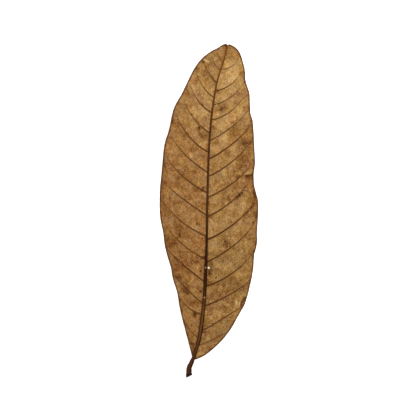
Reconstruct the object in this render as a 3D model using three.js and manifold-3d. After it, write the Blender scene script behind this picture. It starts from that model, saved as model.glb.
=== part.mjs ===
// A dried longan leaflet with its short stalk, lying on its upper side so that the ribbed underside shows.
// Millimetres, +Z up. +Y runs along the midrib from the stalk to the tip, and the leaf lies on the plane z = 0.
// Until the last lines the blade's base, where both margins meet the stalk, is at x = 0, y = 0.
import * as THREE from "three";
import { mergeVertices } from "three/addons/utils/BufferGeometryUtils.js";
import Module from "manifold-3d";

const wasm = await Module();
wasm.setup();

// Driving dimensions
const BLADE_THICKNESS = 0.6;
const RIB_HEIGHT = 0.45; // of a side rib above the blade, where it leaves the midrib
const RIB_HALF_WIDTH = 0.5;
const RIB_END = 0.94; // share of the way to the margin where a side rib has sunk into the blade
const QUILT_DEPTH = 0.35; // how far the blade sinks between two side ribs
const FULL_QUILT_GAP = 8; // ribs nearer to each other than this have a shallower hollow between them
const ARCH_POWER = 1.4; // above 1, the blade leaves the midrib level and bends down towards the margin
const MIDRIB_RISE = 0.25; // how far the midrib stands out of the blade, as a share of its radius
const STALK_CUT_SLANT = 0.4; // slope of the break at the stalk's end
const INNER_GAP = 0.1; // the two halves of the blade end this far from the midrib's line, inside the midrib

// Steps of the mesh
const STALK_SIDES = 8;
const STALK_STEP = 3.4;
const COLUMNS = [0.17, 0.34, 0.51, 0.67, 0.81, 0.92, 1];

// The midrib's line, from the stalk's end to the tip: y, x, height of its middle, radius.
const MIDRIB = [
  [-8.3, -2.0, 1.7, 1.35],
  [-6.1, -2.1, 1.7, 1.25],
  [-4.3, -1.85, 1.8, 1.12],
  [-2.0, -0.9, 2.1, 0.96],
  [0, 0, 2.2, 0.82],
  [7.9, 2.3, 2.7, 0.85],
  [21.4, 4.2, 3.5, 0.8],
  [34.9, 5.3, 4.3, 0.7],
  [52.9, 6.0, 5.2, 0.6],
  [70.9, 6.2, 5.5, 0.52],
  [93.4, 6.8, 4.8, 0.48],
  [106.9, 7.8, 4.0, 0.46],
  [115.9, 9.0, 3.4, 0.45],
  [124.9, 10.6, 2.9, 0.44],
  [133.9, 13.4, 2.7, 0.43],
  [140.7, 15.3, 2.8, 0.42],
];

// The side ribs of each half: y of the root on the midrib, x and y where the rib would meet the margin, its bow, which
// is 0 on a straight rib, and how far along its run it bends. The margin is a smooth line through these ends and
// through the edge points, which have no rib. They have the same five values.
const LEFT_RIBS = [
  [8.8, -5.7, 20.2, 0.28, 0.65],
  [19.4, -7.5, 30.0, 0.48, 0.78],
  [24.1, -10.1, 40.2, 0.16, 0.88],
  [34.1, -13.1, 51.5, 0.18, 0.9],
  [44.3, -15.2, 65.1, 0.36, 0.72],
  [54.7, -15.2, 74.5, 0.4, 0.76],
  [64.1, -14.65, 80.7, 0.14, 0.78],
  [74.2, -13.4, 93.9, 0.36, 0.78],
  [83.4, -11.2, 102.2, 0.29, 0.7],
  [92.6, -8.9, 112.3, 0.4, 0.66],
  [101.2, -5.3, 119.0, 0.38, 0.68],
  [110.4, -2.35, 125.1, 0.42, 0.64],
  [117.2, 0.5, 130.6, 0.4, 0.64],
  [123.8, 3.85, 134.9, 0.28, 0.6],
  [129.7, 8.15, 138.2, 0.66, 0.84],
  [133.4, 10.45, 139.3, 0.64, 0.88],
];
const LEFT_EDGE = [
  [0, -0.5, 0.2, 0, 0.78],
  [22.0, -9.35, 35.8, 0.32, 0.82],
  [29.6, -12.0, 46.6, 0.16, 0.9],
  [37.6, -13.65, 56.2, 0.24, 0.84],
  [41.0, -14.65, 61.0, 0.31, 0.77],
  [69.2, -14.0, 87.4, 0.26, 0.78],
  [78.8, -12.6, 98.1, 0.32, 0.74],
  [137.9, 12.9, 140.7, 0.3, 0.8],
  [140.6, 14.6, 141.1, 0, 0.78],
];
const RIGHT_RIBS = [
  [5.3, 16.95, 13.2, 0.16, 0.88],
  [11.6, 23.25, 24.5, 0.05, 0.84],
  [23.0, 26.35, 36.5, 0.27, 0.85],
  [32.0, 28.1, 49.0, 0.34, 0.64],
  [42.8, 29.1, 64.6, 0.36, 0.84],
  [52.9, 28.85, 71.9, 0.28, 0.68],
  [63.2, 27.15, 83.0, 0.32, 0.74],
  [71.9, 27.7, 90.4, 0.34, 0.82],
  [81.3, 27.2, 100.1, 0.31, 0.78],
  [89.1, 26.65, 107.0, 0.28, 0.84],
  [97.4, 25.5, 113.7, 0.31, 0.88],
  [106.9, 24.65, 121.0, 0.48, 0.64],
  [113.5, 23.35, 125.6, 0.47, 0.76],
  [119.9, 22.8, 131.3, 0.52, 0.72],
  [129.7, 20.8, 137.5, 0.8, 0.88],
];
const RIGHT_EDGE = [
  [0, 1.5, -0.6, 0, 0.8],
  [1.0, 4.8, 0.95, 0.05, 0.8],
  [2.6, 10.5, 5.55, 0.1, 0.84],
  [3.9, 14.2, 9.5, 0.13, 0.86],
  [8.4, 20.05, 18.7, 0.1, 0.86],
  [26.4, 27.0, 41.0, 0.3, 0.76],
  [30.0, 27.4, 46.4, 0.33, 0.68],
  [34.6, 28.75, 52.7, 0.35, 0.69],
  [36.6, 28.6, 55.6, 0.35, 0.74],
  [50.6, 29.1, 70.3, 0.3, 0.72],
  [58.1, 27.35, 77.6, 0.3, 0.71],
  [60.8, 27.15, 80.5, 0.31, 0.72],
  [67.9, 27.7, 87.1, 0.33, 0.78],
  [76.6, 27.4, 95.2, 0.32, 0.8],
  [87.4, 26.85, 105.6, 0.29, 0.83],
  [92.8, 25.75, 110.0, 0.3, 0.86],
  [104.6, 25.2, 119.3, 0.43, 0.69],
  [117.0, 23.25, 128.8, 0.5, 0.74],
  [136.1, 18.35, 140.15, 0.4, 0.8],
  [140.6, 16.2, 141.1, 0, 0.78],
];

// Height of each margin against the y of the rib's root. Where it is below zero the margin lies flat on the ground:
// one such place on the left and two on the right, round the leaf's weight.
const LEFT_HEIGHT = [
  [0, 2.2],
  [12, 1.6],
  [28, 0.6],
  [44, -0.8],
  [60, 1.0],
  [78, 1.9],
  [98, 0.6],
  [114, 1.2],
  [128, 2.2],
  [140.7, 2.7],
];
const RIGHT_HEIGHT = [
  [0, 2.2],
  [10, 1.0],
  [24, -0.8],
  [42, 1.0],
  [58, 2.2],
  [74, 1.2],
  [89, -0.8],
  [104, 0.8],
  [120, 2.0],
  [140.7, 2.7],
];

// A smooth line through one column of a table whose first column rises.
function smooth(table, column = 1) {
  const last = table.length - 1;
  const slopeAt = (i) => {
    const a = table[Math.max(i - 1, 0)];
    const b = table[Math.min(i + 1, last)];
    return (b[column] - a[column]) / (b[0] - a[0]);
  };
  return (at) => {
    const next = table.findIndex((row) => row[0] > at);
    const i = next < 0 ? last - 1 : Math.max(next - 1, 0);
    const span = table[i + 1][0] - table[i][0];
    const u = THREE.MathUtils.clamp((at - table[i][0]) / span, 0, 1);
    const start = table[i][column];
    const rise = table[i + 1][column] - start;
    const eased = u * u * (3 - 2 * u);
    const lean = slopeAt(i) * u * (1 - u) ** 2 - slopeAt(i + 1) * u * u * (1 - u);
    return start + rise * eased + lean * span;
  };
}

const midribX = smooth(MIDRIB, 1);
const midribHeight = smooth(MIDRIB, 2);
const midribRadius = smooth(MIDRIB, 3);

// One half of the blade: the places along it, and where the line rooted at y ends, how it bows and how high its end
// lies.
function half(ribs, edge, heights) {
  const rows = [...ribs, ...edge].sort((a, b) => a[0] - b[0]);
  return {
    places: rows.map((row) => ({ root: row[0], isRib: ribs.includes(row) })),
    ribRoots: ribs.map((rib) => rib[0]),
    bounds: [rows[0][0], ...ribs.map((rib) => rib[0]), rows.at(-1)[0]],
    marginX: smooth(rows, 1),
    marginY: smooth(rows, 2),
    bow: smooth(rows, 3),
    reach: smooth(rows, 4),
    marginHeight: smooth(heights),
  };
}

// The point at a share of the way from the midrib to the margin, along the rib's line rooted at y.
function alongRib(side, root, share) {
  const start = new THREE.Vector2(midribX(root), root);
  const end = new THREE.Vector2(side.marginX(root), side.marginY(root));
  const run = end.clone().sub(start);
  const reach = side.reach(root);
  const bend = new THREE.Vector2(start.x + reach * run.x, start.y + (reach - side.bow(root)) * run.y);
  return new THREE.QuadraticBezierCurve(start, bend, end).getPoint(share);
}

// How deep the blade lies at a root between two ribs: 0 on a rib, 1 midway between two that stand well apart.
function hollowAt(side, root) {
  const next = side.bounds.findIndex((bound) => bound > root);
  if (next < 1) return 0;
  const gap = side.bounds[next] - side.bounds[next - 1];
  const phase = (root - side.bounds[next - 1]) / gap;
  return Math.min(1, gap / FULL_QUILT_GAP) * 4 * phase * (1 - phase);
}

// The rows of a half from base to tip: how much of a rib each one carries, and how deep it lies between two ribs.
function rowsOf(side) {
  const roots = side.places.flatMap(({ root, isRib }, i) => {
    const own = isRib ? [root - RIB_HALF_WIDTH, root, root + RIB_HALF_WIDTH] : [root];
    return i > 0 ? [(side.places[i - 1].root + root) / 2, ...own] : own;
  });
  return roots.map((root) => ({
    root,
    rib: side.ribRoots.includes(root) ? 1 : 0,
    hollow: hollowAt(side, root),
  }));
}

// The two faces of the blade at one place on a row.
function facesAt(side, row, share) {
  const at = alongRib(side, row.root, share);
  const crown = midribHeight(row.root);
  const fall = (side.marginHeight(row.root) - crown) * share ** ARCH_POWER;
  const quilt = row.hollow * QUILT_DEPTH * 4 * share * (1 - share);
  const middle = Math.max(crown + fall - quilt, BLADE_THICKNESS / 2);
  const rib = row.rib * RIB_HEIGHT * Math.max(0, 1 - (share / RIB_END) ** 2);
  return {
    top: [at.x, at.y, middle + BLADE_THICKNESS / 2 + rib],
    bottom: [at.x, at.y, middle - BLADE_THICKNESS / 2],
  };
}

// A closed geometry from a list of positions and a list of quads, each split along its first diagonal.
function closedGeometry(positions, quads, triangles = []) {
  const index = quads.flatMap(([a, b, c, d]) => [a, b, c, a, c, d]);
  return new THREE.BufferGeometry()
    .setAttribute("position", new THREE.Float32BufferAttribute(positions.flat(), 3))
    .setIndex([...index, ...triangles.flat()]);
}

// A half of the blade as a closed sheet, both faces split alike. turn is 1 on the right and -1 on the left, where
// the columns run the other way and each face would otherwise point inwards.
function bladeHalf(side, turn) {
  const rows = rowsOf(side);
  const width = COLUMNS.length + 1;
  const positions = [];
  for (const row of rows) {
    const length = alongRib(side, row.root, 0).distanceTo(alongRib(side, row.root, 1));
    for (const share of [INNER_GAP / length, ...COLUMNS]) {
      const faces = facesAt(side, row, share);
      positions.push(faces.top, faces.bottom);
    }
  }
  const top = (row, column) => 2 * (row * width + column);
  const bottom = (row, column) => top(row, column) + 1;
  const lastRow = rows.length - 1;
  const lastColumn = width - 1;
  const quads = [];
  for (let r = 0; r < lastRow; r++) {
    for (let c = 0; c < lastColumn; c++) {
      quads.push([top(r, c), top(r, c + 1), top(r + 1, c + 1), top(r + 1, c)]);
      quads.push([bottom(r + 1, c + 1), bottom(r, c + 1), bottom(r, c), bottom(r + 1, c)]);
    }
    quads.push([bottom(r, 0), top(r, 0), top(r + 1, 0), bottom(r + 1, 0)]);
    quads.push([top(r, lastColumn), bottom(r, lastColumn), bottom(r + 1, lastColumn), top(r + 1, lastColumn)]);
  }
  for (let c = 0; c < lastColumn; c++) {
    quads.push([top(0, c), bottom(0, c), bottom(0, c + 1), top(0, c + 1)]);
    quads.push([bottom(lastRow, c), top(lastRow, c), top(lastRow, c + 1), bottom(lastRow, c + 1)]);
  }
  return closedGeometry(positions, turn > 0 ? quads : quads.map((quad) => quad.reverse()));
}

// The stalk and the midrib as one round tapering rod, broken off on a slant at the stalk's end.
function stalkAndMidrib() {
  const start = MIDRIB[0][0];
  const length = MIDRIB.at(-1)[0] - start;
  const steps = Math.round(length / STALK_STEP);
  const positions = [];
  const centre = (y) =>
    new THREE.Vector3(midribX(y), y, midribHeight(y) + (y > 0 ? MIDRIB_RISE * midribRadius(y) : 0));
  for (let i = 0; i <= steps; i++) {
    const y = start + (length * i) / steps;
    const ahead = centre(y + 0.5).sub(centre(y - 0.5));
    const across = new THREE.Vector3(ahead.y, -ahead.x, 0).normalize();
    const up = across.clone().cross(ahead).normalize();
    for (let k = 0; k < STALK_SIDES; k++) {
      const angle = ((k + 0.5) / STALK_SIDES) * 2 * Math.PI;
      const offset = across.clone().multiplyScalar(Math.cos(angle)).addScaledVector(up, Math.sin(angle));
      const point = centre(y).addScaledVector(offset, midribRadius(y));
      if (i === 0) point.y += STALK_CUT_SLANT * (point.x - midribX(y));
      positions.push(point.toArray());
    }
  }
  const at = (ring, k) => ring * STALK_SIDES + (k % STALK_SIDES);
  const quads = [];
  const caps = [];
  for (let k = 0; k < STALK_SIDES; k++) {
    for (let i = 0; i < steps; i++) quads.push([at(i, k), at(i, k + 1), at(i + 1, k + 1), at(i + 1, k)].reverse());
    if (k > 1) caps.push([at(0, 0), at(0, k - 1), at(0, k)], [at(steps, 0), at(steps, k), at(steps, k - 1)]);
  }
  return closedGeometry(positions, quads, caps);
}

function solidFrom(geometry) {
  const merged = mergeVertices(geometry);
  return new wasm.Manifold(
    new wasm.Mesh({
      numProp: 3,
      vertProperties: merged.attributes.position.array,
      triVerts: new Uint32Array(merged.index.array),
    }),
  );
}

function geometryFrom(solid) {
  const mesh = solid.getMesh();
  return new THREE.BufferGeometry()
    .setAttribute("position", new THREE.BufferAttribute(mesh.vertProperties, 3))
    .setIndex(new THREE.BufferAttribute(mesh.triVerts, 1));
}

const left = half(LEFT_RIBS, LEFT_EDGE, LEFT_HEIGHT);
const right = half(RIGHT_RIBS, RIGHT_EDGE, RIGHT_HEIGHT);
const grown = solidFrom(stalkAndMidrib())
  .add(solidFrom(bladeHalf(left, -1)))
  .add(solidFrom(bladeHalf(right, 1)));

// The origin moves to the middle of the leaf's box, on the ground.
const leafShape = geometryFrom(grown);
leafShape.computeBoundingBox();
const middle = leafShape.boundingBox.getCenter(new THREE.Vector3());
leafShape.translate(-middle.x, -middle.y, -leafShape.boundingBox.min.z);
leafShape.computeVertexNormals();

const driedBrown = new THREE.MeshStandardMaterial({
  color: new THREE.Color(0.66, 0.47, 0.26),
  roughness: 0.72,
  metalness: 0,
  flatShading: true,
});
const leaf = new THREE.Mesh(leafShape, driedBrown);
leaf.name = "leaf";

const part = new THREE.Group();
part.add(leaf);

export default part;
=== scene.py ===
"""A dried longan leaflet lying ribbed side up, as detailed meshes with procedural materials.

The tables and the named sizes are in millimetres unless a comment says otherwise. +Y runs along the
midrib from the stalk to the tip, and +Z is up. Until the leaf is placed, the blade's base, where both
margins meet the stalk, is at x = 0, y = 0. Blender's objects are in metres.
"""

import bpy
import numpy as np
from bpy.props import FloatProperty, FloatVectorProperty, PointerProperty
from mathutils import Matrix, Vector, noise


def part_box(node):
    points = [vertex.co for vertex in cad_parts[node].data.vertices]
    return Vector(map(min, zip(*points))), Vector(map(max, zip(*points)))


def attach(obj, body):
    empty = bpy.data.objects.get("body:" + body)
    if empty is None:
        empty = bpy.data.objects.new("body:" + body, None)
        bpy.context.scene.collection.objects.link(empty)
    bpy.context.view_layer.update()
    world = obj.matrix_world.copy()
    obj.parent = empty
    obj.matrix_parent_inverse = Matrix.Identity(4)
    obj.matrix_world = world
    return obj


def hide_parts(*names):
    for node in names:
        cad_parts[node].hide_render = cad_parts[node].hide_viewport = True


bl_info = {
    "name": "Dried Longan Leaf",
    "version": (1, 0, 0),
    "blender": (4, 5, 0),
    "location": "View3D > Sidebar > Leaf",
    "description": "Builds a dried longan leaflet with its ribs, its stalk and a pale table",
    "category": "Add Mesh",
}

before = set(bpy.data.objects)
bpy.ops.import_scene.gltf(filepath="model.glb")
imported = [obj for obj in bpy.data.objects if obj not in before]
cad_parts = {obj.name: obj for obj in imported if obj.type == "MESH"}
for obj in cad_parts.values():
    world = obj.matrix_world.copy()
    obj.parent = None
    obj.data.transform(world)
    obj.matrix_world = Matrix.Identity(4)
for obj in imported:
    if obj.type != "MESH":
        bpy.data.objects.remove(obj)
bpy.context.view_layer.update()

MM = 0.001
LEAF_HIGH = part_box("leaf")[1]
# How far the plain solid reaches to the right of the blade's base and towards the tip. This places the
# tables in the frame.
SOLID_REACH_X = 29.16
SOLID_REACH_Y = 141.1
BASE_X = LEAF_HIGH.x / MM - SOLID_REACH_X
BASE_Y = LEAF_HIGH.y / MM - SOLID_REACH_Y

# The midrib's line, from the stalk's end to the tip: y, x, height of its middle, radius.
MIDRIB = [
    (-8.3, -2.0, 1.7, 1.35),
    (-6.1, -2.1, 1.7, 1.25),
    (-4.3, -1.85, 1.8, 1.12),
    (-2.0, -0.9, 2.1, 1.05),
    (0, 0, 2.2, 0.8),
    (7.9, 2.38, 2.7, 0.85),
    (21.4, 4.38, 3.5, 0.78),
    (34.9, 5.35, 4.3, 0.75),
    (52.9, 6.0, 5.2, 0.5),
    (70.9, 6.3, 5.5, 0.48),
    (93.4, 6.98, 4.8, 0.46),
    (106.9, 7.97, 4.0, 0.42),
    (115.9, 9.18, 3.4, 0.38),
    (124.9, 10.8, 2.9, 0.34),
    (133.9, 13.65, 2.7, 0.3),
    (140.7, 15.4, 2.8, 0.32),
]

# The side ribs of each half: y of the root on the midrib, x and y where the rib would meet the margin, its
# bow, and how far along its run it bends. The edge points have no rib. The margin is a smooth line through
# both.
LEFT_RIBS = [
    (8.8, -5.7, 20.2, 0.28, 0.65),
    (19.4, -7.5, 30.0, 0.48, 0.78),
    (24.1, -10.1, 40.2, 0.16, 0.88),
    (34.1, -13.1, 51.5, 0.18, 0.9),
    (44.3, -15.2, 65.1, 0.36, 0.72),
    (54.7, -15.2, 74.5, 0.4, 0.76),
    (64.1, -14.65, 80.7, 0.14, 0.78),
    (74.2, -13.4, 93.9, 0.36, 0.78),
    (83.4, -11.2, 102.2, 0.29, 0.7),
    (92.6, -8.9, 112.3, 0.4, 0.66),
    (101.2, -5.3, 119.0, 0.38, 0.68),
    (110.4, -2.35, 125.1, 0.42, 0.64),
    (117.2, 0.5, 130.6, 0.4, 0.64),
    (123.8, 3.85, 134.9, 0.28, 0.6),
    (129.7, 8.15, 138.2, 0.66, 0.84),
    (133.4, 10.45, 139.3, 0.64, 0.88),
]
LEFT_EDGE = [
    (0, -0.5, 0.2, 0, 0.78),
    (22.0, -9.35, 35.8, 0.32, 0.82),
    (29.6, -12.0, 46.6, 0.16, 0.9),
    (37.6, -13.65, 56.2, 0.24, 0.84),
    (41.0, -14.65, 61.0, 0.31, 0.77),
    (69.2, -14.0, 87.4, 0.26, 0.78),
    (78.8, -12.6, 98.1, 0.32, 0.74),
    (137.9, 12.9, 140.85, 0.3, 0.8),
    (139.6, 13.9, 141.3, 0.2, 0.8),
    (140.6, 14.8, 141.4, 0, 0.78),
]
RIGHT_RIBS = [
    (5.3, 16.95, 13.2, 0.16, 0.88),
    (11.6, 23.25, 24.5, 0.05, 0.84),
    (23.0, 26.35, 36.5, 0.27, 0.85),
    (32.0, 28.1, 49.0, 0.34, 0.64),
    (42.8, 29.1, 64.6, 0.36, 0.84),
    (52.9, 28.85, 71.9, 0.28, 0.68),
    (63.2, 27.15, 83.0, 0.32, 0.74),
    (71.9, 27.7, 90.4, 0.34, 0.82),
    (81.3, 27.2, 100.1, 0.31, 0.78),
    (89.1, 26.65, 107.0, 0.28, 0.84),
    (97.4, 25.5, 113.7, 0.31, 0.88),
    (106.9, 24.65, 121.0, 0.48, 0.64),
    (113.5, 23.35, 125.6, 0.47, 0.76),
    (119.9, 22.8, 131.3, 0.52, 0.72),
    (129.7, 20.8, 137.5, 0.8, 0.88),
]
RIGHT_EDGE = [
    (0, 0.7, -0.75, 0, 0.8),
    (1.0, 4.8, 0.95, 0.05, 0.8),
    (2.6, 10.5, 5.55, 0.1, 0.84),
    (3.9, 14.2, 9.5, 0.13, 0.86),
    (8.4, 20.05, 18.7, 0.1, 0.86),
    (26.4, 27.0, 41.0, 0.3, 0.76),
    (30.0, 27.4, 46.4, 0.33, 0.68),
    (34.6, 28.75, 52.7, 0.35, 0.69),
    (36.6, 28.6, 55.6, 0.35, 0.74),
    (50.6, 29.1, 70.3, 0.3, 0.72),
    (58.1, 27.35, 77.6, 0.3, 0.71),
    (60.8, 27.15, 80.5, 0.31, 0.72),
    (67.9, 27.7, 87.1, 0.33, 0.78),
    (76.6, 27.4, 95.2, 0.32, 0.8),
    (87.4, 26.85, 105.6, 0.29, 0.83),
    (92.8, 25.75, 110.0, 0.3, 0.86),
    (104.6, 25.2, 119.3, 0.43, 0.69),
    (117.0, 23.25, 128.8, 0.5, 0.74),
    (136.1, 18.35, 140.15, 0.4, 0.8),
    (140.6, 15.9, 141.3, 0, 0.78),
]

# Height of each margin against the y of the rib's root. Below zero it lies flat on the table.
LEFT_HEIGHT = [
    (0, 2.2),
    (12, 1.6),
    (28, 0.6),
    (44, -0.8),
    (60, 1.0),
    (78, 1.9),
    (98, 0.6),
    (114, 1.2),
    (128, 2.2),
    (140.7, 2.7),
]
RIGHT_HEIGHT = [
    (0, 2.2),
    (10, 1.0),
    (24, -0.8),
    (42, 1.0),
    (58, 2.2),
    (74, 1.2),
    (89, -0.8),
    (104, 0.8),
    (120, 2.0),
    (140.7, 2.7),
]

# How light and how reddish each half is along the midrib: y, lightness, redness, both from 0 to 1.
LEFT_TONE = [
    (0, 0.46, 0.55),
    (15, 0.5, 0.6),
    (35, 0.47, 0.7),
    (45, 0.46, 0.75),
    (55, 0.475, 0.8),
    (72, 0.49, 0.75),
    (90, 0.53, 0.65),
    (108, 0.58, 0.5),
    (125, 0.56, 0.45),
    (141, 0.52, 0.55),
]
RIGHT_TONE = [
    (0, 0.45, 0.4),
    (25, 0.46, 0.3),
    (45, 0.455, 0.25),
    (62, 0.53, 0.35),
    (75, 0.525, 0.4),
    (90, 0.545, 0.4),
    (110, 0.6, 0.4),
    (128, 0.64, 0.4),
    (141, 0.52, 0.55),
]

# A picture of the leaf from above: its width in pixels, the size of a pixel, and the blade's base in it.
PICTURE_WIDTH = 416
PIXEL = 0.45
BASE_PIXEL = (193, 357.5)

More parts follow.
